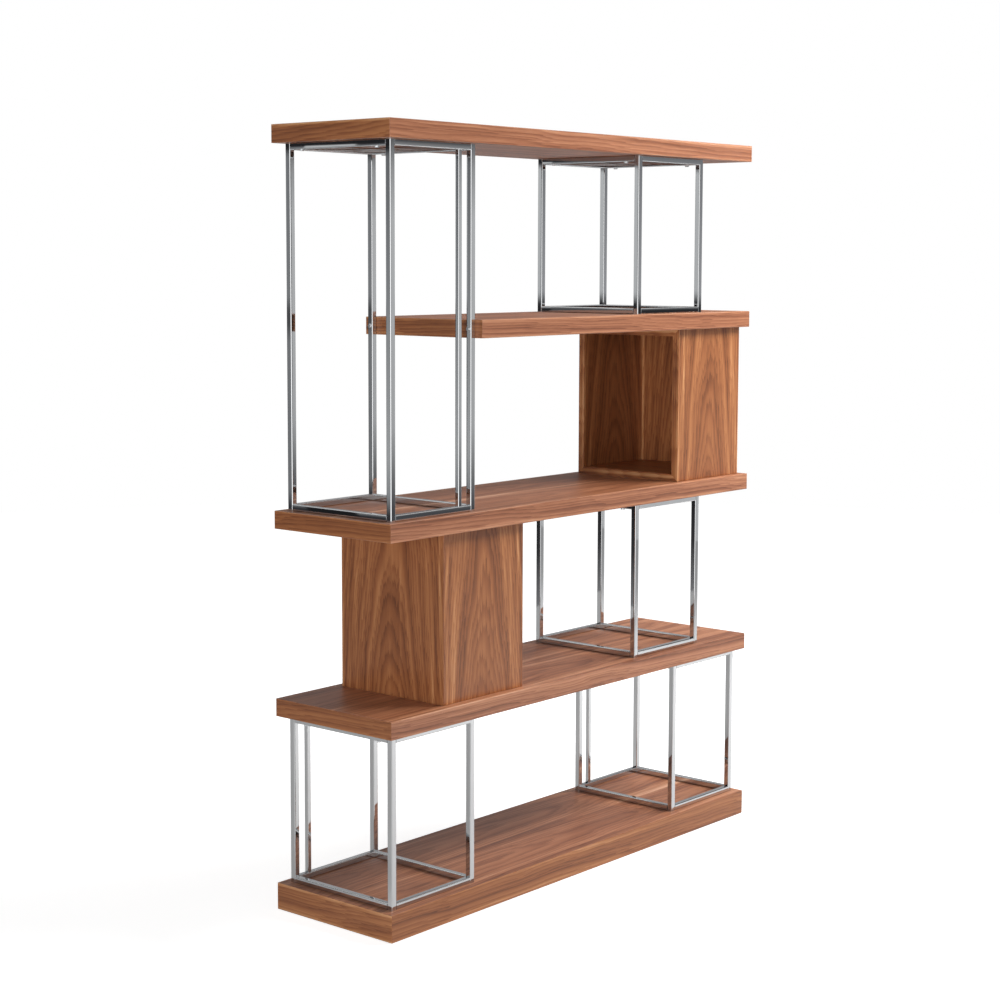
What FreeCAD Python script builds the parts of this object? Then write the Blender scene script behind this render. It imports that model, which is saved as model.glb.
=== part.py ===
import FreeCAD, Part
import Sketcher
import os
import re

# Driving sizes of the shelving unit, in millimetres
SIZES = {
    # The whole unit and its bays
    "unit_width": 1500,
    "unit_depth": 395,
    "base_height": 68,
    "shelf_thickness": 45,
    "bay_height": 425,
    # Hollow slabs of veneered board
    "panel_thickness": 12,
    "arris": 1,
    "rib_width": 30,
    # Chromed frames of square tube
    "frame_width": 300,
    "frame_depth": 350,
    "tube_side": 16,
    "tube_wall": 1.2,
    "tube_chamfer": 1.2,
    "slim_side": 12,
    "slim_wall": 1,
    "slim_chamfer": 0.9,
    "slim_gap": 31,
    # Walnut boxes
    "box_width": 300,
    "box_depth": 350,
    "box_wall": 20,
    # Where frames and boxes stand, from the ends of the unit
    "end_inset": 25,
    "stagger_inset": 210,
    "upper_box_inset": 18,
    # Machine screws, bolts and what they turn into
    "screw_diameter": 6,
    "head_across_corners": 11.5,
    "head_height": 4,
    "fastener_inset": 50,
    "hole_clearance": 0.6,
    "thread_clearance": 0.2,
    "insert_diameter": 9,
    "insert_backing": 2,
    "bush_diameter": 10,
    "bush_length": 12,
    "counterbore_diameter": 14,
    "counterbore_floor": 4,
    # Wood screws of the boxes, their flat heads let into the panels
    "box_screw_diameter": 4,
    "box_screw_head": 8,
    "box_screw_head_depth": 2.4,
    "box_screw_inset": 60,
    "box_screw_backing": 2,
    # Glides under the base
    "glide_diameter": 30,
    "glide_height": 2,
    "glide_inset": 90,
}

# Sides of a hexagon head, and of the small round pieces and holes, which are prisms to keep the part light
HEXAGON_SIDES = 6
ROUND_SIDES = 6

AXIS_X = FreeCAD.Vector(1, 0, 0)
AXIS_Y = FreeCAD.Vector(0, 1, 0)
AXIS_Z = FreeCAD.Vector(0, 0, 1)

# Turns that point a board's outer face another way than to the front
FACE_FRONT = FreeCAD.Rotation()
FACE_BACK = FreeCAD.Rotation(AXIS_Z, 180)
FACE_LEFT = FreeCAD.Rotation(AXIS_Z, -90)
FACE_RIGHT = FreeCAD.Rotation(AXIS_Z, 90)
FACE_UP = FreeCAD.Rotation(AXIS_X, -90)
FACE_DOWN = FreeCAD.Rotation(AXIS_X, 90)

# Turns that point a round feature along another axis than up
ALONG_X = FreeCAD.Rotation(AXIS_Y, 90)
ALONG_Y = FreeCAD.Rotation(AXIS_X, -90)
ALONG_Y_CORNER_UP = ALONG_Y * FreeCAD.Rotation(AXIS_Z, 90)
AGAINST_Y = FreeCAD.Rotation(AXIS_X, 90)
UPWARD = FreeCAD.Rotation()

# Centres of frames and boxes across the width
LEFT_FRAME_X = "(-unit_width / 2 + end_inset + frame_width / 2)"
RIGHT_FRAME_X = "(unit_width / 2 - end_inset - frame_width / 2)"
STAGGERED_FRAME_X = "(unit_width / 2 - stagger_inset - frame_width / 2)"
LOWER_BOX_X = "(-unit_width / 2 + stagger_inset + box_width / 2)"
UPPER_BOX_X = "(unit_width / 2 - upper_box_inset - box_width / 2)"

# Upright sizes and the reach of the fasteners
TALL_HEIGHT = "(2 * bay_height + shelf_thickness)"
INSERT_LENGTH = "(panel_thickness - insert_backing)"
BOX_SCREW_BITE = "(panel_thickness - box_screw_backing)"
COUNTERBORE_DEPTH = "(panel_thickness - counterbore_floor)"

# Distances between fasteners of one frame or box
RAIL_SPAN = "(frame_width - tube_side)"
FASTENER_SPAN = "(frame_depth - 2 * fastener_inset)"
POST_SPAN = "(frame_depth - tube_side)"
BOX_SCREW_SPAN_X = "(box_width - 2 * box_screw_inset)"
BOX_SCREW_SPAN_Y = "(box_depth - 2 * box_screw_inset)"

# The first fastener of each grid, and the axes that the grid runs along
FIRST_FASTENER = (f"-{RAIL_SPAN} / 2", f"-{FASTENER_SPAN} / 2")
FASTENER_GRID = {"X_Axis": RAIL_SPAN, "Y_Axis": FASTENER_SPAN}
FIRST_BOX_SCREW = (f"-{BOX_SCREW_SPAN_X} / 2", "box_wall", f"-{BOX_SCREW_SPAN_Y} / 2")
BOX_SCREW_GRID = {"X_Axis": BOX_SCREW_SPAN_X, "Z_Axis": BOX_SCREW_SPAN_Y}

# Slabs from the floor up: width, centre across the width, and thickness
FULL_SLAB = ("unit_width", "0")
SHORT_SLAB = ("(unit_width - end_inset - frame_width)", "((end_inset + frame_width) / 2)")
SLABS = {
    "base": (*FULL_SLAB, "base_height"),
    "lower_shelf": (*FULL_SLAB, "shelf_thickness"),
    "middle_shelf": (*FULL_SLAB, "shelf_thickness"),
    "upper_shelf": (*SHORT_SLAB, "shelf_thickness"),
    "top_shelf": (*FULL_SLAB, "shelf_thickness"),
}
LEVELS = list(SLABS)

# Frames: centre, height, the slab that each stands on and the slab that it carries
FRAMES = {
    "lower_left_frame": (LEFT_FRAME_X, "bay_height", "base", "lower_shelf"),
    "lower_right_frame": (RIGHT_FRAME_X, "bay_height", "base", "lower_shelf"),
    "middle_frame": (STAGGERED_FRAME_X, "bay_height", "lower_shelf", "middle_shelf"),
    "tall_frame": (LEFT_FRAME_X, TALL_HEIGHT, "middle_shelf", "top_shelf"),
    "upper_frame": (STAGGERED_FRAME_X, "bay_height", "upper_shelf", "top_shelf"),
}

# Frames with a slim extra post: beside the left or right post, on the front or back rails
LEFT_SIDE, RIGHT_SIDE = -1, 1
FRONT_SIDE, BACK_SIDE = -1, 1
SLIM_POSTS = {
    "lower_left_frame": (LEFT_SIDE, BACK_SIDE),
    "lower_right_frame": (LEFT_SIDE, BACK_SIDE),
    "tall_frame": (RIGHT_SIDE, FRONT_SIDE),
}

# Boxes: centre, the open side, the slab that each stands on and the slab that it carries
BOXES = {
    "lower_box": (LOWER_BOX_X, RIGHT_SIDE, "lower_shelf", "middle_shelf"),
    "upper_box": (UPPER_BOX_X, LEFT_SIDE, "middle_shelf", "upper_shelf"),
}

doc = FreeCAD.newDocument("ShelvingUnit")
sheet = doc.addObject("Spreadsheet::Sheet", "Sizes")
for row, (cell_name, cell_value) in enumerate(SIZES.items(), start=1):
    sheet.set(f"A{row}", cell_name)
    sheet.set(f"B{row}", str(cell_value))
    sheet.setAlias(f"B{row}", cell_name)
doc.recompute()

nodes = []


def formula(text):
    """Turn a formula in cell names into an expression on the sheet."""
    return re.sub(r"[a-z][a-z_]*", lambda word: "Sizes." + word[0], text)


def bind(item, **formulas):
    """Tie properties of an object to formulas in cell names."""
    for name, text in formulas.items():
        item.setExpression(name, formula(text))


def place(item, x="0", y="0", z="0", turn=UPWARD):
    """Turn an object and tie its position to formulas."""
    item.Placement = FreeCAD.Placement(FreeCAD.Vector(), turn)
    for axis, text in zip("xyz", (x, y, z)):
        item.setExpression(f"Placement.Base.{axis}", formula(text))


def new_body(label):
    """Start a sub-part with a label of its own."""
    body = doc.addObject("PartDesign::Body", label)
    body.Label = label
    return body


def node_of(item):
    """Keep an object as a node of the finished part."""
    nodes.append(item)
    return item


def group(label, members):
    """Gather like pieces, each a separate solid, into one node."""
    compound = doc.addObject("Part::Compound", label)
    compound.Label = label
    compound.Links = members
    return node_of(compound)


def origin_feature(body, role):
    """Find an axis or a plane of a body's own origin."""
    return next(feature for feature in body.Origin.OriginFeatures if feature.Role == role)


def repeat(body, name, features, spans, counts=(2, 2)):
    """Repeat features of a body along one or two axes, over the given spans."""
    pattern = body.newObject("PartDesign::LinearPattern", name)
    pattern.Originals = features
    for suffix, count, (role, span) in zip(("", "2"), counts, spans.items()):
        setattr(pattern, "Direction" + suffix, (origin_feature(body, role), [""]))
        setattr(pattern, "Occurrences" + suffix, count)
        bind(pattern, **{"Length" + suffix: span})
    body.Tip = pattern


def prism(body, action, name, sides, diameter, height, at, turn=UPWARD):
    """Add or cut a prism, its corners on a circle of the given diameter."""
    feature = body.newObject(f"PartDesign::{action}Prism", name)
    feature.Polygon = sides
    bind(feature, Circumradius=f"({diameter}) / 2", Height=height)
    place(feature, *at, turn)
    return feature


def drill(body, name, diameter, depth, at, turn, spans):
    """Cut a grid of round holes, the first one at a point, over one or two spans."""
    hole = prism(body, "Subtractive", name, ROUND_SIDES, diameter, depth, at, turn)
    repeat(body, name + "_grid", [hole], spans)


def drill_board(body, name, diameter, depth, centre, spans):
    """Cut a grid of holes into the outer face of a board, about a centre along its length."""
    span_x, span_z = spans
    start = (f"{centre} - {span_x} / 2", "0", f"-{span_z} / 2")
    drill(body, name, diameter, depth, start, ALONG_Y, {"X_Axis": span_x, "Z_Axis": span_z})


def mitred_board(body, name, length, height, thickness, outer="0", open_side=0):
    """Add a board, mitred on its edges, with eased arrises and its outer face on y = outer."""
    wedges = []
    steps = (
        ("face", "0", "arris", "arris / 2", "arris / 2"),
        ("mitre", "arris / 2", "arris / 2", thickness, thickness),
    )
    for step, near, near_inset, far, far_inset in steps:
        wedge = body.newObject("PartDesign::AdditiveWedge", f"{name}_{step}")
        bind(wedge, Ymin=f"{outer} + {near}", Ymax=f"{outer} + {far}")
        bind(wedge, Zmin=f"-({height}) / 2 + {near_inset}", Zmax=f"({height}) / 2 - {near_inset}")
        bind(wedge, Z2min=f"-({height}) / 2 + {far_inset}", Z2max=f"({height}) / 2 - {far_inset}")
        for side, limit in ((LEFT_SIDE, "min"), (RIGHT_SIDE, "max")):
            is_open = side == open_side
            for prefix, inset in (("X", near_inset), ("X2", far_inset)):
                kept = "0" if is_open else inset
                bind(wedge, **{prefix + limit: f"{side} * (({length}) / 2 - {kept})"})
        wedges.append(wedge)
    return wedges


def level_top(slab):
    """Height of a slab's top face over the floor."""
    count = LEVELS.index(slab)
    return f"(glide_height + base_height + {count} * (bay_height + shelf_thickness))"


def level_underside(slab):
    """Height of a slab's lower face over the floor."""
    thickness = SLABS[slab][2]
    return f"({level_top(slab)} - {thickness})"


def standing_on(table, slab):
    """Names and centres of the frames or boxes that stand on a slab."""
    return [(name, row[0]) for name, row in table.items() if row[2] == slab]


def carrying(table, slab):
    """Names and centres of the frames or boxes that carry a slab."""
    return [(name, row[0]) for name, row in table.items() if row[3] == slab]


# Slabs: hollow boxes of mitred board, drilled for what stands on them and what carries them
def build_slab(slab):
    """Make the six boards of one slab."""
    length, centre, thickness = SLABS[slab]
    middle = f"{level_top(slab)} - {thickness} / 2"
    bolt_hole = "screw_diameter + hole_clearance"
    pilot_hole = "box_screw_diameter + thread_clearance"
    frame_grid = (RAIL_SPAN, FASTENER_SPAN)
    box_grid = (BOX_SCREW_SPAN_X, BOX_SCREW_SPAN_Y)

    top = node_of(new_body(f"{slab}_top_panel"))
    mitred_board(top, f"{slab}_top", length, "unit_depth", "panel_thickness")
    place(top, centre, "0", level_top(slab), FACE_UP)
    for name, x in standing_on(FRAMES, slab):
        drill_board(top, f"{name}_way", bolt_hole, "panel_thickness", f"{x} - {centre}", frame_grid)
    for name, x in standing_on(BOXES, slab):
        drill_board(top, f"{name}_pilot", pilot_hole, BOX_SCREW_BITE, f"{x} - {centre}", box_grid)

    bottom = node_of(new_body(f"{slab}_bottom_panel"))
    mitred_board(bottom, f"{slab}_bottom", length, "unit_depth", "panel_thickness")
    place(bottom, centre, "0", level_underside(slab), FACE_DOWN)
    for name, x in standing_on(FRAMES, slab):
        at = f"{x} - {centre}"
        drill_board(bottom, f"{name}_under_way", bolt_hole, "panel_thickness", at, frame_grid)
        drill_board(bottom, f"{name}_counterbore", "counterbore_diameter", COUNTERBORE_DEPTH, at, frame_grid)
    for name, x in carrying(FRAMES, slab):
        drill_board(bottom, f"{name}_socket", "insert_diameter", INSERT_LENGTH, f"{x} - {centre}", frame_grid)
    for name, x in carrying(BOXES, slab):
        drill_board(bottom, f"{name}_cap_pilot", pilot_hole, BOX_SCREW_BITE, f"{x} - {centre}", box_grid)

    for name, along, across, turn in (
        ("long_edges", length, "unit_depth", FACE_FRONT),
        ("end_edges", "unit_depth", length, FACE_LEFT),
    ):
        strips = node_of(new_body(f"{slab}_{name}"))
        outer = f"-{across} / 2"
        strip = mitred_board(strips, f"{slab}_{name}_strip", along, thickness, "panel_thickness", outer)
        mirror = strips.newObject("PartDesign::Mirrored", f"{slab}_{name}_pair")
        mirror.Originals = strip
        mirror.MirrorPlane = (origin_feature(strips, "XZ_Plane"), [""])
        strips.Tip = mirror
        place(strips, centre, "0", middle, turn)
    return strips


def rib(body, name, thickness, x):
    """Add a rib that fills a slab from its lower board to its upper one, front to back."""
    block = body.newObject("PartDesign::AdditiveBox", name)
    depth = "(unit_depth - 2 * panel_thickness)"
    bind(block, Length="rib_width", Width=depth, Height=f"{thickness} - 2 * panel_thickness")
    place(block, f"{x} - rib_width / 2", f"-{depth} / 2")
    return block


def build_ribs(slab):
    """Make the ribs of one slab, a pair over or under the side rails of each frame."""
    thickness = SLABS[slab][2]
    floor = f"{level_underside(slab)} + panel_thickness"
    bodies = []
    for frames, is_drilled in ((standing_on(FRAMES, slab), True), (carrying(FRAMES, slab), False)):
        for name, x in frames:
            pair = new_body(f"{slab}_{name}_ribs")
            block = rib(pair, f"{slab}_{name}_rib", thickness, FIRST_FASTENER[0])
            repeat(pair, f"{slab}_{name}_rib_pair", [block], {"X_Axis": RAIL_SPAN})
            if is_drilled:
                depth = f"{thickness} - 2 * panel_thickness"
                drill(pair, f"{slab}_{name}_rib_way", "screw_diameter + hole_clearance", depth,
                      (*FIRST_FASTENER, "0"), UPWARD, FASTENER_GRID)
            place(pair, x, "0", floor)
            bodies.append(pair)
    return bodies


def build_end_rib(slab):
    """Make the rib behind the end strip that the tall frame's bolts pull against."""
    length, centre, thickness = SLABS[slab]
    body = new_body(f"{slab}_end_rib")
    rib(body, f"{slab}_end_block", thickness, "panel_thickness + rib_width / 2")
    place(body, f"{centre} - {length} / 2", "0", f"{level_underside(slab)} + panel_thickness")
    return body


# Frames: square tube posts and rails, butted and welded
def draw_outline(sketch, points):
    """Draw a closed outline that half a turn leaves as it is, and give its lines and their rules."""
    first = sketch.GeometryCount
    lines = list(range(first, first + len(points)))
    half = len(points) // 2
    sketch.addGeometry([Part.LineSegment(*ends) for ends in zip(points, points[1:] + points[:1])])
    rules = [Sketcher.Constraint("Coincident", line, 2, other, 1) for line, other in zip(lines, lines[1:])]
    rules.append(Sketcher.Constraint("Coincident", lines[-1], 2, first, 1))
    rules += [Sketcher.Constraint("Symmetric", line, 1, line + half, 1, -1, 1) for line in lines[:half]]
    return lines, rules


def draw_tube_section(sketch, side, wall, chamfer):
    """Draw a square tube's section about the sketch's origin, its outer corners cut off."""
    half = SIZES[side] / 2
    bore = half - SIZES[wall]
    cut = SIZES[chamfer]
    corners = [(1, 1), (-1, 1), (-1, -1), (1, -1)]
    cut_points = []
    for x, y in corners:
        ends = (FreeCAD.Vector(x * half, y * (half - cut)), FreeCAD.Vector(x * (half - cut), y * half))
        cut_points += ends if x == y else ends[::-1]
    outer_lines, rules = draw_outline(sketch, cut_points)
    bore_lines, bore_rules = draw_outline(sketch, [FreeCAD.Vector(x * bore, y * bore) for x, y in corners])
    rules += bore_rules

    dimensions = []
    squares = (
        ("outer", outer_lines[1::2], 2 * half, side),
        ("bore", bore_lines, 2 * bore, f"{side} - 2 * {wall}"),
    )
    for name, (top, left, bottom, right), size, text in squares:
        rules.append(Sketcher.Constraint("Horizontal", top))
        rules.append(Sketcher.Constraint("Vertical", left))
        across = Sketcher.Constraint("DistanceX", left, 1, right, 1, size)
        up = Sketcher.Constraint("DistanceY", bottom, 1, top, 1, size)
        dimensions += [(f"{name}_across", text, across), (f"{name}_up", text, up)]
    for name, line, low, high in (("right_cut", outer_lines[0], 1, 2), ("left_cut", outer_lines[2], 2, 1)):
        across = Sketcher.Constraint("DistanceX", line, 2, line, 1, cut)
        up = Sketcher.Constraint("DistanceY", line, low, line, high, cut)
        dimensions += [(f"{name}_across", chamfer, across), (f"{name}_up", chamfer, up)]
    sketch.addConstraint(rules + [constraint for _, _, constraint in dimensions])
    for index, (name, text, _) in enumerate(dimensions, start=len(rules)):
        sketch.renameConstraint(index, name)
        sketch.setExpression(f"Constraints.{name}", formula(text))


def tube(body, name, plane, section, at, length, is_centred):
    """Add a square tube to a body, its section at a point of an origin plane."""
    sketch = body.newObject("Sketcher::SketchObject", name + "_section")
    sketch.AttachmentSupport = [(origin_feature(body, plane), "")]
    sketch.MapMode = "FlatFace"
    for axis, text in zip("xyz", at):
        sketch.setExpression(f"AttachmentOffset.Base.{axis}", formula(text))
    draw_tube_section(sketch, *section)
    pad = body.newObject("PartDesign::Pad", name)
    pad.Profile = sketch
    pad.SideType = "Symmetric" if is_centred else "One side"
    bind(pad, Length=length)
    return pad


def build_frame(frame):
    """Make the posts and rails of one frame."""
    x, height, stands_on, _ = FRAMES[frame]
    section = ("tube_side", "tube_wall", "tube_chamfer")
    side_x = f"-{RAIL_SPAN} / 2"
    front_y = f"-{POST_SPAN} / 2"
    rise = f"{height} - tube_side"
    bodies = [node_of(new_body(f"{frame}_{kind}")) for kind in ("posts", "side_rails", "cross_rails")]
    posts, side_rails, cross_rails = bodies

    pad = tube(posts, f"{frame}_post", "XY_Plane", section, (side_x, front_y, "0"), height, False)
    repeat(posts, f"{frame}_post_grid", [pad], {"X_Axis": RAIL_SPAN, "Y_Axis": POST_SPAN})

    run = "frame_depth - 2 * tube_side"
    at = (side_x, "tube_side / 2", "0")
    pad = tube(side_rails, f"{frame}_side_rail", "XZ_Plane", section, at, run, True)
    repeat(side_rails, f"{frame}_side_grid", [pad], {"X_Axis": RAIL_SPAN, "Z_Axis": rise})
    drill(side_rails, f"{frame}_bush_hole", "bush_diameter", "tube_side / 2", (*FIRST_FASTENER, "0"),
          UPWARD, FASTENER_GRID)
    drill(side_rails, f"{frame}_screw_hole", "screw_diameter + hole_clearance", "tube_side",
          (*FIRST_FASTENER, rise), UPWARD, FASTENER_GRID)

    run = "frame_width - 2 * tube_side"
    at = (front_y, "tube_side / 2", "0")
    pad = tube(cross_rails, f"{frame}_cross_rail", "YZ_Plane", section, at, run, True)
    repeat(cross_rails, f"{frame}_cross_grid", [pad], {"Y_Axis": POST_SPAN, "Z_Axis": rise})

    if frame in SLIM_POSTS:
        bodies.append(build_slim_post(frame, height))
    for body in bodies:
        place(body, x, "0", level_top(stands_on))
    return posts


def build_slim_post(frame, height):
    """Make the slim extra post between a frame's upper and lower cross rails."""
    side, face = SLIM_POSTS[frame]
    body = node_of(new_body(f"{frame}_slim_post"))
    section = ("slim_side", "slim_wall", "slim_chamfer")
    at = (f"{side} * (frame_width / 2 - tube_side - slim_gap - slim_side / 2)", f"{face} * {POST_SPAN} / 2",
          "tube_side")
    tube(body, f"{frame}_slim", "XY_Plane", section, at, f"{height} - 2 * tube_side", False)
    return body


# Boxes: mitred boards round four sides and a closed end
def build_box(box):
    """Make the five panels of one box, drilled for its screws."""
    x, open_side, stands_on, _ = BOXES[box]
    floor = level_top(stands_on)
    middle = f"{floor} + bay_height / 2"
    closed_side = -open_side
    end_x = f"{x} + {closed_side} * box_width / 2"
    end_turn = FACE_LEFT if closed_side == LEFT_SIDE else FACE_RIGHT
    panels = (
        ("front", "box_width", "bay_height", open_side, (x, "-box_depth / 2", middle), FACE_FRONT),
        ("back", "box_width", "bay_height", -open_side, (x, "box_depth / 2", middle), FACE_BACK),
        ("end", "box_depth", "bay_height", 0, (end_x, "0", middle), end_turn),
        ("top", "box_width", "box_depth", open_side, (x, "0", f"{floor} + bay_height"), FACE_UP),
        ("bottom", "box_width", "box_depth", open_side, (x, "0", floor), FACE_DOWN),
    )
    for name, length, height, panel_open_side, at, turn in panels:
        panel = node_of(new_body(f"{box}_{name}_panel"))
        mitred_board(panel, f"{box}_{name}", length, height, "box_wall", "0", panel_open_side)
        if name in ("top", "bottom"):
            let_in_screws(panel, f"{box}_{name}")
        place(panel, *at, turn)


def let_in_screws(panel, name):
    """Cut the ways of the screws and, from a box's inside, the recesses for their heads."""
    drill_board(panel, f"{name}_way", "box_screw_diameter + thread_clearance", "box_wall", "0",
                (BOX_SCREW_SPAN_X, BOX_SCREW_SPAN_Y))
    drill(panel, f"{name}_recess", "box_screw_head", "box_screw_head_depth", FIRST_BOX_SCREW, AGAINST_Y,
          BOX_SCREW_GRID)


def build_box_screws(box, name, z, turn):
    """Make the four screws that hold one end of a box to a slab."""
    body = new_body(f"{box}_{name}_screws")
    head = prism(body, "Additive", f"{box}_{name}_screw_head", ROUND_SIDES, "box_screw_head",
                 "box_screw_head_depth", FIRST_BOX_SCREW, AGAINST_Y)
    shank = prism(body, "Additive", f"{box}_{name}_screw_shank", ROUND_SIDES, "box_screw_diameter",
                  f"box_wall + {BOX_SCREW_BITE}", FIRST_BOX_SCREW, AGAINST_Y)
    repeat(body, f"{box}_{name}_screw_grid", [head, shank], BOX_SCREW_GRID)
    place(body, BOXES[box][0], "0", z, turn)
    return body


# Fasteners of the frames
def headed_screw(body, name, at, length):
    """Add a screw with a hexagon head, its shank rising from the head's seat."""
    x, y, seat = at
    shank = prism(body, "Additive", f"{name}_shank", ROUND_SIDES, "screw_diameter", length, at)
    head = prism(body, "Additive", f"{name}_head", HEXAGON_SIDES, "head_across_corners", "head_height",
                 (x, y, f"{seat} - head_height"))
    return [shank, head]


def sleeve(body, name, at, diameter, length):
    """Add an upright threaded sleeve, plain inside."""
    outside = prism(body, "Additive", name, ROUND_SIDES, diameter, length, at)
    bore_diameter = "screw_diameter + thread_clearance"
    bore = prism(body, "Subtractive", f"{name}_bore", ROUND_SIDES, bore_diameter, length, at)
    return [outside, bore]


def build_frame_fasteners(frame):
    """Make the screws, inserts, bolts and bushes at a frame's side rails."""
    x, height, stands_on, _ = FRAMES[frame]
    clamped = f"({SLABS[stands_on][2]} - {COUNTERBORE_DEPTH})"
    kinds = {kind: new_body(f"{frame}_{kind}") for kind in ("screws", "inserts", "bolts", "bushes")}
    made = {
        "screws": headed_screw(kinds["screws"], f"{frame}_screw", (*FIRST_FASTENER, f"{height} - tube_side"),
                               f"tube_side + {INSERT_LENGTH}"),
        "inserts": sleeve(kinds["inserts"], f"{frame}_insert", (*FIRST_FASTENER, height),
                          "insert_diameter", INSERT_LENGTH),
        "bolts": headed_screw(kinds["bolts"], f"{frame}_bolt", (*FIRST_FASTENER, f"-{clamped}"),
                              f"{clamped} + bush_length"),
        "bushes": sleeve(kinds["bushes"], f"{frame}_bush", (*FIRST_FASTENER, "0"),
                         "bush_diameter", "bush_length"),
    }
    for kind, body in kinds.items():
        repeat(body, f"{frame}_{kind}_grid", made[kind], FASTENER_GRID)
        place(body, x, "0", level_top(stands_on))
    return kinds


def build_end_bolts():
    """Make the bolts, and their inserts, that hold the upper shelf's end to the tall frame."""
    bolts = new_body("shelf_end_bolts")
    inserts = new_body("upper_shelf_end_inserts")
    mouth = ("0", f"-{POST_SPAN} / 2", "0")
    seat = (*mouth[:2], "-tube_side")
    bolt = headed_screw(bolts, "end_bolt", seat, f"tube_side + {INSERT_LENGTH}")
    insert = sleeve(inserts, "end_insert", mouth, "insert_diameter", INSERT_LENGTH)
    for body, features in ((bolts, bolt), (inserts, insert)):
        repeat(body, f"{body.Name}_pair", features, {"Y_Axis": POST_SPAN})
        place(body, f"{LEFT_FRAME_X} + frame_width / 2", "0",
              f"{level_top('upper_shelf')} - shelf_thickness / 2", ALONG_X)
    return bolts, inserts


def build_glides():
    """Make the flat glides under the base, in two rows of three."""
    body = new_body("floor_glides")
    span_x = "(unit_width - 2 * glide_inset)"
    span_y = "(unit_depth - 2 * glide_inset)"
    disc = prism(body, "Additive", "glide", ROUND_SIDES, "glide_diameter", "glide_height",
                 (f"-{span_x} / 2", f"-{span_y} / 2", "0"))
    repeat(body, "glide_grid", [disc], {"X_Axis": span_x, "Y_Axis": span_y}, counts=(3, 2))
    return node_of(body)


end_strips = {slab: build_slab(slab) for slab in SLABS}
insert_hole_at = (f"-{POST_SPAN} / 2", f"-{SHORT_SLAB[0]} / 2", "0")
drill(end_strips["upper_shelf"], "end_insert_hole", "insert_diameter", INSERT_LENGTH, insert_hole_at,
      ALONG_Y_CORNER_UP, {"X_Axis": POST_SPAN})

ribs = {slab: build_ribs(slab) for slab in SLABS}
ribs["upper_shelf"].append(build_end_rib("upper_shelf"))
group("base_ribs", ribs.pop("base"))
group("shelf_ribs", [body for bodies in ribs.values() for body in bodies])

frame_posts = {frame: build_frame(frame) for frame in FRAMES}
bolt_hole_at = ("frame_width / 2 - tube_side", f"-{POST_SPAN} / 2", "bay_height + shelf_thickness / 2")
drill(frame_posts["tall_frame"], "end_bolt_hole", "screw_diameter + hole_clearance", "tube_side",
      bolt_hole_at, ALONG_X, {"Y_Axis": POST_SPAN})

for box_name in BOXES:
    build_box(box_name)

fasteners = {frame: build_frame_fasteners(frame) for frame in FRAMES}
end_bolts, end_inserts = build_end_bolts()
on_base = [name for name, _ in standing_on(FRAMES, "base")]
group("top_rail_screws", [kinds["screws"] for kinds in fasteners.values()])
group("insert_nuts", [kinds["inserts"] for kinds in fasteners.values()] + [end_inserts])
group("base_bolts", [kinds["bolts"] for frame, kinds in fasteners.items() if frame in on_base])
group("shelf_bolts", [kinds["bolts"] for frame, kinds in fasteners.items() if frame not in on_base])
group("rail_bushes", [kinds["bushes"] for kinds in fasteners.values()])
node_of(end_bolts)

box_screw_bodies = []
for box_name, (_, _, slab_below, _) in BOXES.items():
    box_floor = level_top(slab_below)
    box_screw_bodies.append(build_box_screws(box_name, "floor", box_floor, FACE_DOWN))
    box_screw_bodies.append(build_box_screws(box_name, "cap", f"{box_floor} + bay_height", FACE_UP))
group("box_screws", box_screw_bodies)

build_glides()

doc.recompute()
for item in doc.Objects:
    if "Invalid" in item.State or "Error" in item.State:
        raise RuntimeError(f"{item.Label} did not build: {item.State}")
for item in nodes:
    if item.Shape.isNull() or not item.Shape.isValid():
        raise RuntimeError(f"{item.Label} has no valid shape")

os.makedirs("parts", exist_ok=True)
for item in nodes:
    item.Shape.exportStep(f"parts/{item.Label}.step")
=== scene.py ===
import math
from itertools import product

import bmesh
import bpy
from mathutils import Matrix, Vector


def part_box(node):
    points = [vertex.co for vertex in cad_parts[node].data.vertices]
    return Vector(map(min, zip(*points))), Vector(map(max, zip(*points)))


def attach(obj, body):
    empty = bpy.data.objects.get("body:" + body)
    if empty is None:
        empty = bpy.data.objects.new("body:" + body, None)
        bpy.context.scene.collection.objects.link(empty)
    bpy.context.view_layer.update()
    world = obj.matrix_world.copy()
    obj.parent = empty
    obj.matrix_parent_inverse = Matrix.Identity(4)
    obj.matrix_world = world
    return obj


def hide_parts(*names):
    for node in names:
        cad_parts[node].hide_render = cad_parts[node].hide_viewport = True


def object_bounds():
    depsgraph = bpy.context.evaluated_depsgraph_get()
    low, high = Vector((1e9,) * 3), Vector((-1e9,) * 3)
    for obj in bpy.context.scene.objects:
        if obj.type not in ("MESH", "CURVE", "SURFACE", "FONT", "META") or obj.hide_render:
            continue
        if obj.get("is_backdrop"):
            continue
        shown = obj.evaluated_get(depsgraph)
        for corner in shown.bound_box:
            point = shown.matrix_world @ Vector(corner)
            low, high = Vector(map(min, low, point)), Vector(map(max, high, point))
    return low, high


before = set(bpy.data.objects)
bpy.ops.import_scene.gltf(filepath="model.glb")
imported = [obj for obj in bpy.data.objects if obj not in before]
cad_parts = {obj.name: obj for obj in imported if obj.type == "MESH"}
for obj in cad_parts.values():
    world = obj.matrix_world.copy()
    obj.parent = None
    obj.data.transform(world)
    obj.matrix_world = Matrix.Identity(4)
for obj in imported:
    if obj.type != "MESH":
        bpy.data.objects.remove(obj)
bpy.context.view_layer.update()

MM = 0.001
AXIS_X, AXIS_Y, AXIS_Z = 0, 1, 2

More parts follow.
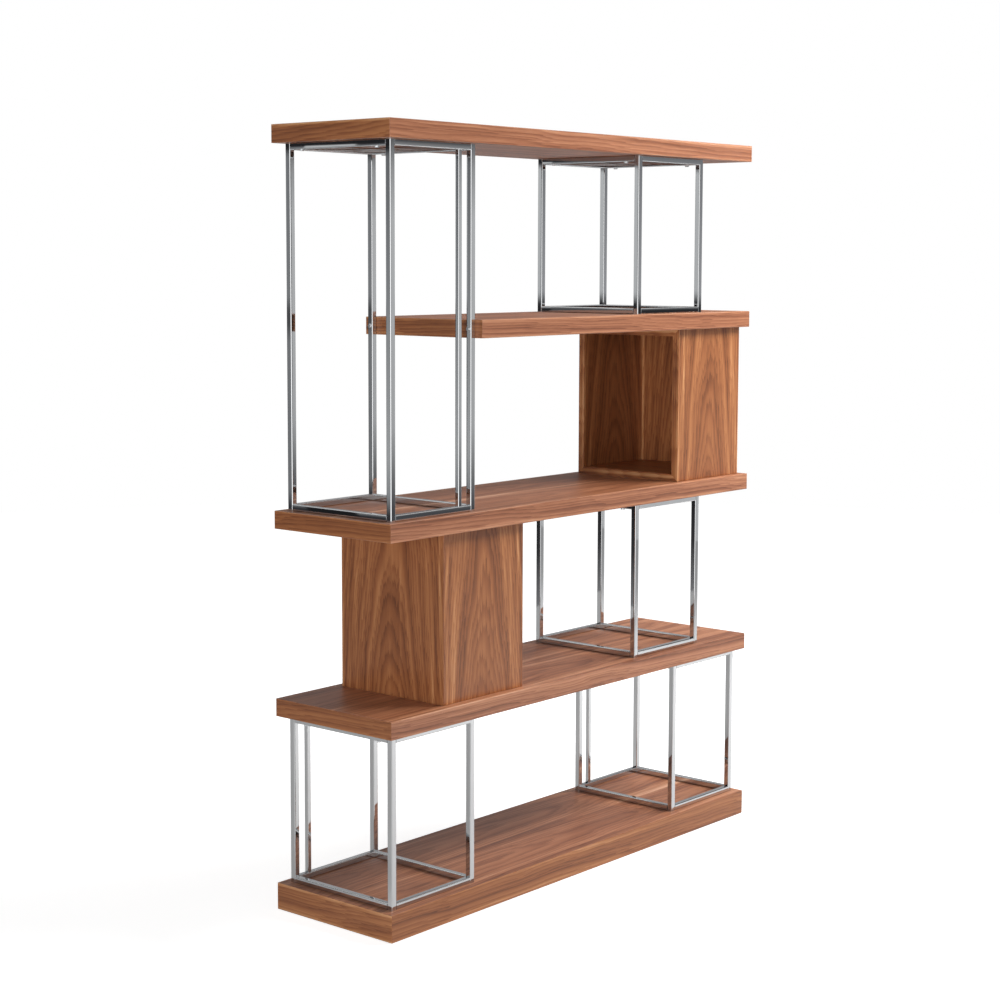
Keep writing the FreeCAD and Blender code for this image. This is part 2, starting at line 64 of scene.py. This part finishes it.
# Sizes of the pieces, in metres
SHELF_DEPTH, SHELF_THICKNESS, BASE_THICKNESS = 395 * MM, 45 * MM, 68 * MM
BOX_WIDTH, BOX_DEPTH = 300 * MM, 350 * MM
TUBE_SIDE, TUBE_CORNER = 16 * MM, 2.4 * MM
SLIM_SIDE, SLIM_CORNER = 12 * MM, 2.0 * MM
CORNER_STEPS = 5
FASTENER_INSET = 50 * MM
INSERT_DEPTH = 10 * MM
SCREW_RADIUS, SCREW_SIDES = 3 * MM, 16
HEAD_RADIUS, HEAD_HEIGHT, HEAD_SIDES = 5.5 * MM, 4 * MM, 6
WASHER_FACE, WASHER_SIDES = 0.8 * MM, 24
# The outer end of a hexagon head is chamfered to a flat of this share of its radius
CHAMFER, CHAMFER_FLAT = 0.7 * MM, 0.86

SLABS = ("base", "lower_shelf", "middle_shelf", "upper_shelf", "top_shelf")
FRAMES = ("lower_left_frame", "lower_right_frame", "middle_frame", "tall_frame", "upper_frame")
SLIM_POST_FRAMES = ("lower_left_frame", "lower_right_frame", "tall_frame")
BOXES = ("lower_box", "upper_box")


def linear(hex_code):
    """Turn an sRGB hex colour into linear RGBA."""
    channels = [int(hex_code[i:i + 2], 16) / 255 for i in (1, 3, 5)]
    return [c / 12.92 if c <= 0.04045 else ((c + 0.055) / 1.055) ** 2.4 for c in channels] + [1.0]


def add(tree, kind, inputs=None, stops=(), **settings):
    """Add a shader node with its settings and colour stops, and set its inputs or link them."""
    node = tree.nodes.new("ShaderNode" + kind)
    for name, value in settings.items():
        setattr(node, name, value)
    for index, (place, colour) in enumerate(stops):
        elements = node.color_ramp.elements
        element = elements[index] if index < 2 else elements.new(place)
        element.position, element.color = place, linear(colour)
    for key, value in (inputs or {}).items():
        if isinstance(value, bpy.types.Node):
            value = value.outputs[0]
        if isinstance(value, bpy.types.NodeSocket):
            tree.links.new(value, node.inputs[key])
        else:
            node.inputs[key].default_value = value
    return node


def new_material(name):
    """Start a material with an empty tree, and give both."""
    material = bpy.data.materials.new(name)
    material.use_nodes = True
    material.node_tree.nodes.clear()
    return material, material.node_tree


# Walnut veneer, sliced flat and satin lacquered: red-brown heartwood whose growth rings rise in
# long arches up the middle of each leaf, fine straight fibres, paler streaks of sapwood towards
# the leaf's edges, and a coat that shines softly at a low angle
BROWN_WALNUT = (
    (0.00, "#4a2514"), (0.25, "#744224"), (0.50, "#985d37"), (0.75, "#b37649"), (1.00, "#d09a6c"))
# Rosier and paler than the brown: partly the slabs' own veneer, partly painted sheen of their lit
# fronts and tops
ROSY_WALNUT_AND_PAINTED_SHEEN = (
    (0.00, "#4d291c"), (0.25, "#794831"), (0.50, "#a06749"), (0.75, "#bd8361"), (1.00, "#dbab8c"))
# Length, width and detail of each layer of the grain. Fibres and pores are a few tenths of a
# millimetre wide: drawn coarser, so that they show
GRAIN_LAYERS = {
    "waver": (330 * MM, 120 * MM, 1.5),
    "streaks": (1600 * MM, 14 * MM, 3.0),
    "fibres": (420 * MM, 3.5 * MM, 2.0),
    "pores": (30 * MM, 1.4 * MM, 1.0),
}
# Boards start anywhere along this length of trunk, in metres, so that no two show the same figure
TRUNK_LENGTH = 9.0
# The heart lies this deep under a leaf, and off to one side of the narrow edges
HEART_DEPTH, EDGE_HEART = 80 * MM, 75 * MM
# How fast the trunk tapers along a board, which draws out the arches
SLAB_TAPER, LONG_EDGE_TAPER, END_EDGE_TAPER, BOX_TAPER = 0.03, 0.02, 0.05, 0.09
# How far the waver and the fibres push the rings out of line
WAVER_REACH, FEATHER_REACH = 30 * MM, 9 * MM
# Rings come in paler and darker groups, and a group's tone also varies the width of its rings
RING_GROUP_WIDTH, RING_DETAIL, RING_ROUGHNESS = 22 * MM, 2.5, 0.6
RING_WIDTH, RING_STRAY = 6.5 * MM, 16 * MM
# Each ring ends in a thin dark line of late growth, over this part of its width
LATE_START, LATE_FULL = 0.45, 0.9
# Sapwood starts this far from a leaf's middle, and shows in the paler streaks
PALE_START, PALE_STREAK_START, PALE_STREAK_FULL = 0.62, 0.45, 0.7
# What each layer adds to the tone
RING_SHARE, LATE_SHARE, STREAK_SHARE, FIBRE_SHARE, PORE_SHARE = 0.60, 0.20, 0.45, 0.45, 0.25
BOARD_SHARE, PALE_SHARE = 0.04, 0.55
LACQUER_IOR, LACQUER_SMOOTH, LACQUER_DULL = 1.5, 0.32, 0.46
PORE_RELIEF, PORE_DEPTH = 0.08, 0.3 * MM


def walnut(name, tones, along, across, width, taper, leaves=1, heart_shift=0.0):
    """Make veneer for a board, its grain along one axis and its leaves side by side on another."""
    material, tree = new_material(name)
    half_leaf = width / leaves / 2
    place = add(tree, "TexCoord").outputs
    chance = add(tree, "ObjectInfo").outputs["Random"]
    metres = add(tree, "SeparateXYZ", {0: place["Object"]}).outputs
    share = add(tree, "SeparateXYZ", {0: place["Generated"]}).outputs
    length = add(tree, "Math", {0: chance, 1: TRUNK_LENGTH, 2: metres[along]},
                 operation="MULTIPLY_ADD")
    leaf_share = add(tree, "Math", {0: share[across], 1: leaves}, operation="MULTIPLY")
    leaf_share = add(tree, "Math", {0: leaf_share}, operation="FRACT")
    from_middle = add(tree, "MapRange", {"Value": leaf_share, "To Min": -half_leaf,
                                         "To Max": half_leaf})
    # The place in the thickness counts too, so that the grain also runs along a board's narrow
    # faces
    through = AXIS_X + AXIS_Y + AXIS_Z - along - across
    sideways = add(tree, "Math", {0: metres[across], 1: metres[through]}, operation="ADD")
    veneer = add(tree, "CombineXYZ", {0: length, 1: sideways})

    grain = {}
    for layer, (layer_length, layer_width, detail) in GRAIN_LAYERS.items():
        drawn_out = add(tree, "Mapping", {"Vector": veneer,
                                          "Scale": (1 / layer_length, 1 / layer_width, 1)})
        grain[layer] = add(tree, "TexNoise", {"Vector": drawn_out, "W": chance, "Scale": 1.0,
                                              "Detail": detail}, noise_dimensions="4D")

    # A flat slice through a tapering trunk: each ring is an arch, steeper the further from the
    # heart
    from_heart = add(tree, "Math", {0: from_middle, 1: heart_shift}, operation="ADD")
    slice_point = add(tree, "CombineXYZ", {0: from_heart, 1: HEART_DEPTH})
    radius = add(tree, "VectorMath", {0: slice_point}, operation="LENGTH").outputs["Value"]
    for push, reach in ((length, taper), (grain["waver"], WAVER_REACH),
                        (grain["fibres"], FEATHER_REACH)):
        radius = add(tree, "Math", {0: push, 1: reach, 2: radius}, operation="MULTIPLY_ADD")
    rings = add(tree, "TexNoise", {"W": radius, "Scale": 1 / RING_GROUP_WIDTH,
                                   "Detail": RING_DETAIL, "Roughness": RING_ROUGHNESS},
                noise_dimensions="1D")
    grown = add(tree, "Math", {0: rings, 1: RING_STRAY, 2: radius}, operation="MULTIPLY_ADD")
    grown = add(tree, "Math", {0: grown, 1: RING_WIDTH}, operation="DIVIDE")
    grown = add(tree, "Math", {0: grown}, operation="FRACT")
    late = add(tree, "MapRange", {"Value": grown, "From Min": LATE_START, "From Max": LATE_FULL})

    edge = add(tree, "Math", {0: from_middle}, operation="ABSOLUTE")
    pale = add(tree, "MapRange", {"Value": edge, "From Min": PALE_START * half_leaf,
                                  "From Max": half_leaf, "To Max": PALE_SHARE})
    pale_streaks = add(tree, "MapRange", {"Value": grain["streaks"],
                                          "From Min": PALE_STREAK_START,
                                          "From Max": PALE_STREAK_FULL})
    # Starts where the layers' own means bring the tone to the middle of the colours
    mean_tone = 0.5 - (RING_SHARE + STREAK_SHARE + FIBRE_SHARE + PORE_SHARE + BOARD_SHARE) / 2
    mean_tone += LATE_SHARE * (1 - (LATE_START + LATE_FULL) / 2)
    tone = add(tree, "Math", {0: pale, 1: pale_streaks, 2: mean_tone}, operation="MULTIPLY_ADD")
    for layer, layer_share in ((chance, BOARD_SHARE), (rings, RING_SHARE), (late, -LATE_SHARE),
                               (grain["streaks"], STREAK_SHARE), (grain["fibres"], FIBRE_SHARE),
                               (grain["pores"], PORE_SHARE)):
        tone = add(tree, "Math", {0: layer, 1: layer_share, 2: tone}, operation="MULTIPLY_ADD")
    colour = add(tree, "ValToRGB", {0: tone}, stops=tones)

    gloss = add(tree, "MapRange", {"Value": grain["fibres"], "To Min": LACQUER_SMOOTH,
                                   "To Max": LACQUER_DULL})
    relief = add(tree, "Bump", {"Height": grain["pores"], "Strength": PORE_RELIEF,
                                "Distance": PORE_DEPTH})
    shader = add(tree, "BsdfPrincipled", {"Base Color": colour, "Roughness": gloss,
                                          "IOR": LACQUER_IOR, "Normal": relief})
    add(tree, "OutputMaterial", {"Surface": shader})
    return material


# Raw chipboard of the ribs: pale pressed chips with no gloss
CHIP_SIZE, CHIP_ROUGHNESS = 4 * MM, 0.85


def chipboard():
    """Make the raw board of the ribs inside the slabs."""
    material, tree = new_material("raw_pressed_chipboard")
    position = add(tree, "TexCoord").outputs["Object"]
    chips = add(tree, "TexVoronoi", {"Vector": position, "Scale": 1 / CHIP_SIZE})
    colour = add(tree, "ValToRGB", {0: chips}, stops=((0.0, "#c9a673"), (1.0, "#8f6a40")))
    shader = add(tree, "BsdfPrincipled", {"Base Color": colour, "Roughness": CHIP_ROUGHNESS})
    add(tree, "OutputMaterial", {"Surface": shader})
    return material


# Bright chrome plate on polished steel tube: a cool grey mirror with the faint waviness of drawn
# tube, and a haze left by polishing
WAVE_LENGTH, WAVE_RELIEF, WAVE_DEPTH = 90 * MM, 0.1, 0.4 * MM
HAZE_SIZE, HAZE_DETAIL, HAZE_SMOOTH, HAZE_DULL = 25 * MM, 2.0, 0.015, 0.045


def chrome():
    """Make the chrome plate of the frames."""
    material, tree = new_material("polished_chrome_plate")
    position = add(tree, "TexCoord").outputs["Object"]
    waves = add(tree, "TexNoise", {"Vector": position, "Scale": 1 / WAVE_LENGTH, "Detail": 0.0})
    relief = add(tree, "Bump", {"Height": waves, "Strength": WAVE_RELIEF, "Distance": WAVE_DEPTH})
    haze = add(tree, "TexNoise", {"Vector": position, "Scale": 1 / HAZE_SIZE,
                                  "Detail": HAZE_DETAIL})
    gloss = add(tree, "MapRange", {"Value": haze, "To Min": HAZE_SMOOTH, "To Max": HAZE_DULL})
    shader = add(tree, "BsdfPrincipled", {"Base Color": linear("#c9cacb"), "Metallic": 1.0,
                                          "Roughness": gloss, "Normal": relief})
    add(tree, "OutputMaterial", {"Surface": shader})
    return material


# Zinc plate on steel fasteners: grey with a soft gloss and a slightly cloudy coat
CLOUD_SIZE, CLOUD_DETAIL, CLOUD_SMOOTH, CLOUD_DULL = 3 * MM, 2.0, 0.2, 0.4


def zinc():
    """Make the zinc plate of the screws and sleeves."""
    material, tree = new_material("zinc_plated_steel")
    position = add(tree, "TexCoord").outputs["Object"]
    cloud = add(tree, "TexNoise", {"Vector": position, "Scale": 1 / CLOUD_SIZE,
                                   "Detail": CLOUD_DETAIL})
    gloss = add(tree, "MapRange", {"Value": cloud, "To Min": CLOUD_SMOOTH, "To Max": CLOUD_DULL})
    shader = add(tree, "BsdfPrincipled", {"Base Color": linear("#c3c6c8"), "Metallic": 1.0,
                                          "Roughness": gloss})
    add(tree, "OutputMaterial", {"Surface": shader})
    return material


# Moulded black nylon of the glides: dark and dull, with a fine moulded grain
GRIT_SIZE, GRIT_DETAIL, GRIT_RELIEF, GRIT_DEPTH = 0.8 * MM, 2.0, 0.2, 0.2 * MM
NYLON_ROUGHNESS = 0.55


def nylon():
    """Make the nylon of the glides under the base."""
    material, tree = new_material("moulded_black_nylon")
    position = add(tree, "TexCoord").outputs["Object"]
    grit = add(tree, "TexNoise", {"Vector": position, "Scale": 1 / GRIT_SIZE,
                                  "Detail": GRIT_DETAIL})
    relief = add(tree, "Bump", {"Height": grit, "Strength": GRIT_RELIEF, "Distance": GRIT_DEPTH})
    shader = add(tree, "BsdfPrincipled", {"Base Color": linear("#1d1d1e"),
                                          "Roughness": NYLON_ROUGHNESS, "Normal": relief})
    add(tree, "OutputMaterial", {"Surface": shader})
    return material


def dress(node, material):
    """Give a CAD node its finished material."""
    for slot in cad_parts[node].material_slots:
        slot.material = material


def new_piece(mesh, material, node):
    """Make a piece of its own from a mesh, in place of a CAD node."""
    mesh.materials.append(material)
    piece = bpy.data.objects.new(mesh.name, mesh)
    bpy.context.scene.collection.objects.link(piece)
    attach(piece, "root")
    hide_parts(node)
    return piece


# Tubes with rounded corners
def rounded_square(side, corner):
    """Points round a square with rounded corners, about its centre."""
    points = []
    reach = side / 2 - corner
    for quarter, (x, y) in enumerate(((1, 1), (-1, 1), (-1, -1), (1, -1))):
        for step in range(CORNER_STEPS + 1):
            angle = (quarter + step / CORNER_STEPS) * math.pi / 2
            points.append((x * reach + corner * math.cos(angle),
                           y * reach + corner * math.sin(angle)))
    return points


def add_tube(vertices, faces, section, axis, ends, centre):
    """Add a straight tube along an axis, with its section about a centre, to a mesh's lists."""
    first = len(vertices)
    count = len(section)
    for end in ends:
        for u, v in section:
            point = [centre[0] + u, centre[1] + v]
            point.insert(axis, end)
            vertices.append(point)
    order = 1 if axis != AXIS_Y else -1
    for index in range(count):
        other = (index + 1) % count
        side = [first + index, first + other, first + count + other, first + count + index]
        faces.append(side[::order])
    faces.append([first + index for index in range(count)][::-order])
    faces.append([first + count + index for index in range(count)][::order])


def tubes(node, axis, side, corner, material):
    """Replace a node of square tubes, at the corners of its box, by tubes with rounded corners."""
    low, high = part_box(node)
    # A single tube's two places agree but for rounding, and count once
    places = [sorted({round(low[index] + side / 2, 6), round(high[index] - side / 2, 6)})
              for index in (AXIS_X, AXIS_Y, AXIS_Z) if index != axis]
    section = rounded_square(side, corner)
    vertices, faces = [], []
    for centre in product(*places):
        add_tube(vertices, faces, section, axis, (low[axis], high[axis]), centre)
    mesh = bpy.data.meshes.new(f"{node}_chrome")
    mesh.from_pydata(vertices, [], faces)
    # The tubes' cut ends stay flat, so that they don't bend the mirrors along the sides
    for face in mesh.polygons:
        face.use_smooth = len(face.vertices) < len(section)
    piece = new_piece(mesh, material, node)
    weighting = piece.modifiers.new("flat_faces", "WEIGHTED_NORMAL")
    weighting.mode = "FACE_AREA"
    weighting.keep_sharp = True


# Hexagon head screws
def add_turned(shape, profile, sides, place):
    """Add a closed shape turned about Z to a bmesh, from pairs of radius and height."""
    rings = []
    for radius, height in profile:
        ring = []
        for index in range(sides):
            angle = index * math.tau / sides
            point = Vector((radius * math.cos(angle), radius * math.sin(angle), height))
            ring.append(shape.verts.new(place @ point))
        rings.append(ring)
    for lower, upper in zip(rings, rings[1:]):
        for index in range(sides):
            other = (index + 1) % sides
            shape.faces.new((lower[index], lower[other], upper[other], upper[index]))
    shape.faces.new(rings[0][::-1])
    shape.faces.new(rings[-1])


def screws(name, node, places, length, material):
    """Replace a node of screws by hexagon heads with washer faces, on plain shanks."""
    washer = ((HEAD_RADIUS, -WASHER_FACE), (HEAD_RADIUS, 0))
    hexagon = ((HEAD_RADIUS * CHAMFER_FLAT, -HEAD_HEIGHT), (HEAD_RADIUS, -HEAD_HEIGHT + CHAMFER),
               (HEAD_RADIUS, -WASHER_FACE))
    shank = ((SCREW_RADIUS, 0), (SCREW_RADIUS, length))
    shape = bmesh.new()
    for place in places:
        add_turned(shape, washer, WASHER_SIDES, place)
        add_turned(shape, hexagon, HEAD_SIDES, place)
        add_turned(shape, shank, SCREW_SIDES, place)
    shape.normal_update()
    mesh = bpy.data.meshes.new(name)
    shape.to_mesh(mesh)
    shape.free()
    new_piece(mesh, material, node)


# Finishes: the slabs' faces and the shelves' long edges are a little rosier and paler than the
# rest, partly their own veneer's tone and partly painted sheen on these lit faces; the ends and the
# base's long edges keep the browner tones
slab_face = walnut("walnut_veneer_slab_face", ROSY_WALNUT_AND_PAINTED_SHEEN, AXIS_X, AXIS_Y, SHELF_DEPTH,
                   SLAB_TAPER, leaves=2)
long_edge, end_edge = {}, {}
for kind, thickness, tones in (("shelf", SHELF_THICKNESS, ROSY_WALNUT_AND_PAINTED_SHEEN),
                               ("base", BASE_THICKNESS, BROWN_WALNUT)):
    long_edge[kind] = walnut(f"walnut_veneer_{kind}_long_edge", tones, AXIS_X, AXIS_Z, thickness,
                             LONG_EDGE_TAPER, heart_shift=EDGE_HEART)
    end_edge[kind] = walnut(f"walnut_veneer_{kind}_end_edge", BROWN_WALNUT, AXIS_Y, AXIS_Z,
                            thickness, END_EDGE_TAPER, heart_shift=EDGE_HEART)
box_side = walnut("walnut_veneer_box_side", BROWN_WALNUT, AXIS_Z, AXIS_X, BOX_WIDTH, BOX_TAPER)
box_end = walnut("walnut_veneer_box_end", BROWN_WALNUT, AXIS_Z, AXIS_Y, BOX_DEPTH, BOX_TAPER)
box_level = walnut("walnut_veneer_box_level", BROWN_WALNUT, AXIS_Y, AXIS_X, BOX_WIDTH, BOX_TAPER)
chrome_plate = chrome()
zinc_plate = zinc()
raw_chipboard = chipboard()

for slab in SLABS:
    kind = "base" if slab == "base" else "shelf"
    dress(f"{slab}_top_panel", slab_face)
    dress(f"{slab}_bottom_panel", slab_face)
    dress(f"{slab}_long_edges", long_edge[kind])
    dress(f"{slab}_end_edges", end_edge[kind])
for box in BOXES:
    dress(f"{box}_front_panel", box_side)
    dress(f"{box}_back_panel", box_side)
    dress(f"{box}_end_panel", box_end)
    dress(f"{box}_top_panel", box_level)
    dress(f"{box}_bottom_panel", box_level)
for node in ("base_ribs", "shelf_ribs"):
    dress(node, raw_chipboard)
for node in ("insert_nuts", "base_bolts", "shelf_bolts", "rail_bushes", "box_screws"):
    dress(node, zinc_plate)
dress("floor_glides", nylon())

# Frames
for name in FRAMES:
    tubes(f"{name}_posts", AXIS_Z, TUBE_SIDE, TUBE_CORNER, chrome_plate)
    tubes(f"{name}_side_rails", AXIS_Y, TUBE_SIDE, TUBE_CORNER, chrome_plate)
    tubes(f"{name}_cross_rails", AXIS_X, TUBE_SIDE, TUBE_CORNER, chrome_plate)
for name in SLIM_POST_FRAMES:
    tubes(f"{name}_slim_post", AXIS_Z, SLIM_SIDE, SLIM_CORNER, chrome_plate)

# Screws up through the top rails, and bolts through the tall frame's posts into the upper shelf
rail_screw_places = []
for name in FRAMES:
    low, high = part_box(f"{name}_posts")
    xs = (low.x + TUBE_SIDE / 2, high.x - TUBE_SIDE / 2)
    ys = (low.y + FASTENER_INSET, high.y - FASTENER_INSET)
    for x, y in product(xs, ys):
        rail_screw_places.append(Matrix.Translation((x, y, high.z - TUBE_SIDE)))
screws("rail_screws_hexagon", "top_rail_screws", rail_screw_places, TUBE_SIDE + INSERT_DEPTH,
       zinc_plate)

low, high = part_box("tall_frame_posts")
shelf_low, shelf_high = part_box("upper_shelf_end_edges")
bolt_places = []
for y in (low.y + TUBE_SIDE / 2, high.y - TUBE_SIDE / 2):
    place = Matrix.Translation((high.x - TUBE_SIDE, y, (shelf_low.z + shelf_high.z) / 2))
    bolt_places.append(place @ Matrix.Rotation(math.radians(90), 4, "Y"))
screws("shelf_end_bolts_hexagon", "shelf_end_bolts", bolt_places, TUBE_SIDE + INSERT_DEPTH,
       zinc_plate)

# Studio, in metres and degrees
CAMERA_PLACE = (-4.104, -3.385, 1.631)
CAMERA_YAW, CAMERA_TILT, CAMERA_ROLL = 49.611, 5.788, 0.164
CAMERA_LENS, CAMERA_SHIFT = 71.87, -0.04

camera = bpy.data.objects.new("camera", bpy.data.cameras.new("camera"))
camera.data.lens = CAMERA_LENS
camera.data.shift_y = CAMERA_SHIFT
turn = Matrix.Rotation(math.radians(-CAMERA_YAW), 4, "Z")
turn @= Matrix.Rotation(math.radians(90 - CAMERA_TILT), 4, "X")
turn @= Matrix.Rotation(math.radians(CAMERA_ROLL), 4, "Z")
camera.matrix_world = Matrix.Translation(CAMERA_PLACE) @ turn
bpy.context.scene.collection.objects.link(camera)
bpy.context.scene.camera = camera

# White studio: the ground is white to the eye, in mirrors and through clear things, and lights the
# object only as a pale room would
ROOM_LIGHT = 0.16
world = bpy.data.worlds.new("white_studio")
bpy.context.scene.world = world
world.use_nodes = True
studio_tree = world.node_tree
studio_tree.nodes.clear()
path = add(studio_tree, "LightPath").outputs
seen = add(studio_tree, "Math", {0: path["Is Camera Ray"], 1: path["Is Glossy Ray"]},
           operation="MAXIMUM")
seen = add(studio_tree, "Math", {0: seen, 1: path["Is Transmission Ray"]}, operation="MAXIMUM")
level = add(studio_tree, "MapRange", {"Value": seen, "To Min": ROOM_LIGHT, "To Max": 1.0})
backdrop = add(studio_tree, "Background", {"Strength": level, "Color": linear("#ffffff")})
add(studio_tree, "OutputWorld", {"Surface": backdrop})

# Matt white studio floor: melts into the white ground, and keeps the shadow under the base
FLOOR_RADIUS, FLOOR_SIDES = 8.0, 96
SEEN_GLOW, MIRRORED_GLOW = 0.85, 0.35
FADE_START, FADE_END = 2.0, 5.0
floor_material, floor_tree = new_material("matt_white_studio_floor")
path = add(floor_tree, "LightPath").outputs
mirrored = add(floor_tree, "Math", {0: path["Is Glossy Ray"], 1: path["Is Transmission Ray"]},
               operation="MAXIMUM")
mirrored = add(floor_tree, "Math", {0: mirrored, 1: MIRRORED_GLOW}, operation="MULTIPLY")
position = add(floor_tree, "TexCoord").outputs["Object"]
distance = add(floor_tree, "VectorMath", {0: position}, operation="LENGTH").outputs["Value"]
seen = add(floor_tree, "MapRange", {"Value": distance, "From Min": FADE_START,
                                    "From Max": FADE_END, "To Min": SEEN_GLOW})
glow = add(floor_tree, "Math", {0: path["Is Camera Ray"], 1: seen, 2: mirrored},
           operation="MULTIPLY_ADD")
paint = add(floor_tree, "BsdfDiffuse", {"Color": linear("#c4c4c4")})
shine = add(floor_tree, "Emission", {"Color": linear("#ffffff"), "Strength": glow})
surface = add(floor_tree, "AddShader", {0: paint, 1: shine})
add(floor_tree, "OutputMaterial", {"Surface": surface})
bpy.ops.mesh.primitive_circle_add(vertices=FLOOR_SIDES, radius=FLOOR_RADIUS, fill_type="NGON")
floor = bpy.context.object
floor.name = "studio_floor"
floor.data.materials.append(floor_material)
floor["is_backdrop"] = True


def soft_box(name, place, target, side, power):
    """Hang a large square soft lamp that points at a target, and that no mirror shows."""
    lamp = bpy.data.objects.new(name, bpy.data.lights.new(name, "AREA"))
    lamp.data.shape = "SQUARE"
    lamp.data.size = side
    lamp.data.energy = power
    lamp.location = place
    lamp.rotation_mode = "QUATERNION"
    lamp.rotation_quaternion = (Vector(target) - Vector(place)).to_track_quat("-Z", "Y")
    lamp.visible_camera = False
    lamp.visible_glossy = False
    bpy.context.scene.collection.objects.link(lamp)


soft_box("right_lamp", (3.2, -1.2, 2.6), (0.2, 0, 1.0), 1.2, 126)
soft_box("camera_side_lamp", (-6.9, -2.9, 1.15), (0, 0, 1.1), 2.4, 240)
soft_box("high_right_lamp", (1.9, -2.0, 3.5), (0, 0, 1.0), 1.2, 106)

# Curved glowing screens round the studio, which only the chrome and the lacquer mirror: their tones
# are painted reflections, which draw the dark and grey bands down the tubes, and the white screen
# beside the camera glows as a painted highlight on the tubes' corners. Tones go with height in
# metres
SCREEN_DISTANCE, SCREEN_TOP = 3.6, 3.0
SCREEN_STEPS = 16
RAISED_LOW = 0.40
LEFT_LOW_TONES = ((0.0, "#8a8a8c"), (0.25, "#3f3f41"))
LEFT_PALE_TONES = (
    *LEFT_LOW_TONES, (0.50, "#242426"), (1.42, "#2c2c2e"), (1.47, "#d4d6d7"), (2.04, "#dcdedf"),
    (2.06, "#2c2c2e"), (SCREEN_TOP, "#242425"))
FRONT_TONES = (
    (0.0, "#8f9092"), (0.80, "#b4b5b7"), (1.60, "#7e7f81"), (2.20, "#4c4c4e"),
    (SCREEN_TOP, "#2e2e30"))
WHITE_TONES, WHITE_STRENGTH = ((0.0, "#ffffff"), (SCREEN_TOP, "#ffffff")), 2.2


def screen(name, first_angle, last_angle, tones, low=0.0, strength=1.0):
    """Stand a curved glowing screen between two angles from straight behind, its painted reflection
    tones given by height.
    """
    # The screen's material glows with its painted reflection tones and is no felt
    material, tree = new_material(f"{name}_felt")
    position = add(tree, "TexCoord").outputs["Object"]
    height = add(tree, "SeparateXYZ", {0: position}).outputs["Z"]
    height = add(tree, "Math", {0: height, 1: SCREEN_TOP}, operation="DIVIDE")
    colour = add(tree, "ValToRGB", {0: height}, stops=[(h / SCREEN_TOP, tone) for h, tone in tones])
    shine = add(tree, "Emission", {"Color": colour, "Strength": strength})
    add(tree, "OutputMaterial", {"Surface": shine})
    vertices, faces = [], []
    for step in range(SCREEN_STEPS + 1):
        angle = math.radians(first_angle + (last_angle - first_angle) * step / SCREEN_STEPS)
        x, y = SCREEN_DISTANCE * math.sin(angle), SCREEN_DISTANCE * math.cos(angle)
        vertices += [(x, y, low), (x, y, SCREEN_TOP)]
    for first in range(0, 2 * SCREEN_STEPS, 2):
        faces.append((first, first + 2, first + 3, first + 1))
    mesh = bpy.data.meshes.new(name)
    mesh.from_pydata(vertices, [], faces)
    mesh.materials.append(material)
    reflection_glow = bpy.data.objects.new(name, mesh)
    reflection_glow.visible_camera = False
    reflection_glow.visible_diffuse = False
    reflection_glow.visible_transmission = False
    reflection_glow.visible_shadow = False
    bpy.context.scene.collection.objects.link(reflection_glow)
    reflection_glow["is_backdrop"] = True


screen("left_screen", -65, -54.4, (
    *LEFT_LOW_TONES, (0.62, "#3c3c3f"), (0.70, "#a5a7a9"), (0.85, "#c0c2c3"), (1.5, "#9c9ea0"),
    (2.02, "#7c7e81"), (2.05, "#2c2c2e"), (SCREEN_TOP, "#242425")))
screen("left_pale_screen", -54.4, -51.2, LEFT_PALE_TONES)
screen("left_dark_screen", -51.2, -47.1, (
    *LEFT_LOW_TONES, (0.65, "#3c3c3f"), (0.72, "#87898b"), (1.30, "#8d8f91"), (1.37, "#5a5b5d"),
    (1.42, "#5a5b5d"), (1.48, "#939597"), (2.02, "#8b8d90"), (2.05, "#2c2c2e"),
    (SCREEN_TOP, "#242425")))
screen("left_back_screen", -47.1, 5, LEFT_PALE_TONES)
screen("right_back_screen", 5, 95, (
    (0.0, "#b0b0b1"), (1.40, "#b0b0b1"), (1.65, "#5e5e5f"), (SCREEN_TOP, "#303032")))
screen("right_screen", 95, 131, (
    (RAISED_LOW, "#d8d9da"), (1.00, "#ececed"), (1.30, "#343436"), (1.42, "#343436"),
    (1.48, "#b4b5b8"), (2.00, "#98999c"), (2.20, "#606163"), (SCREEN_TOP, "#2e2e30")),
    low=RAISED_LOW)
screen("right_front_screen", 131, 160, (
    (RAISED_LOW, "#c4c5c6"), (0.48, "#56575a"), (0.54, "#56575a"), (0.70, "#8d8e8f"),
    (0.90, "#c6c7c8"), (1.30, "#d2d3d4"), (1.80, "#d8d9da"), (2.02, "#b4b5b6"),
    (2.16, "#5a5a5c"), (SCREEN_TOP, "#2e2e30")), low=RAISED_LOW)
screen("front_screen", 160, 203, FRONT_TONES)
screen("camera_side_screen", 203, 262, WHITE_TONES, strength=WHITE_STRENGTH)
screen("left_front_screen", 262, 295, FRONT_TONES)

low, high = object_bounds()

bpy.context.scene.view_settings.view_transform = "Standard"
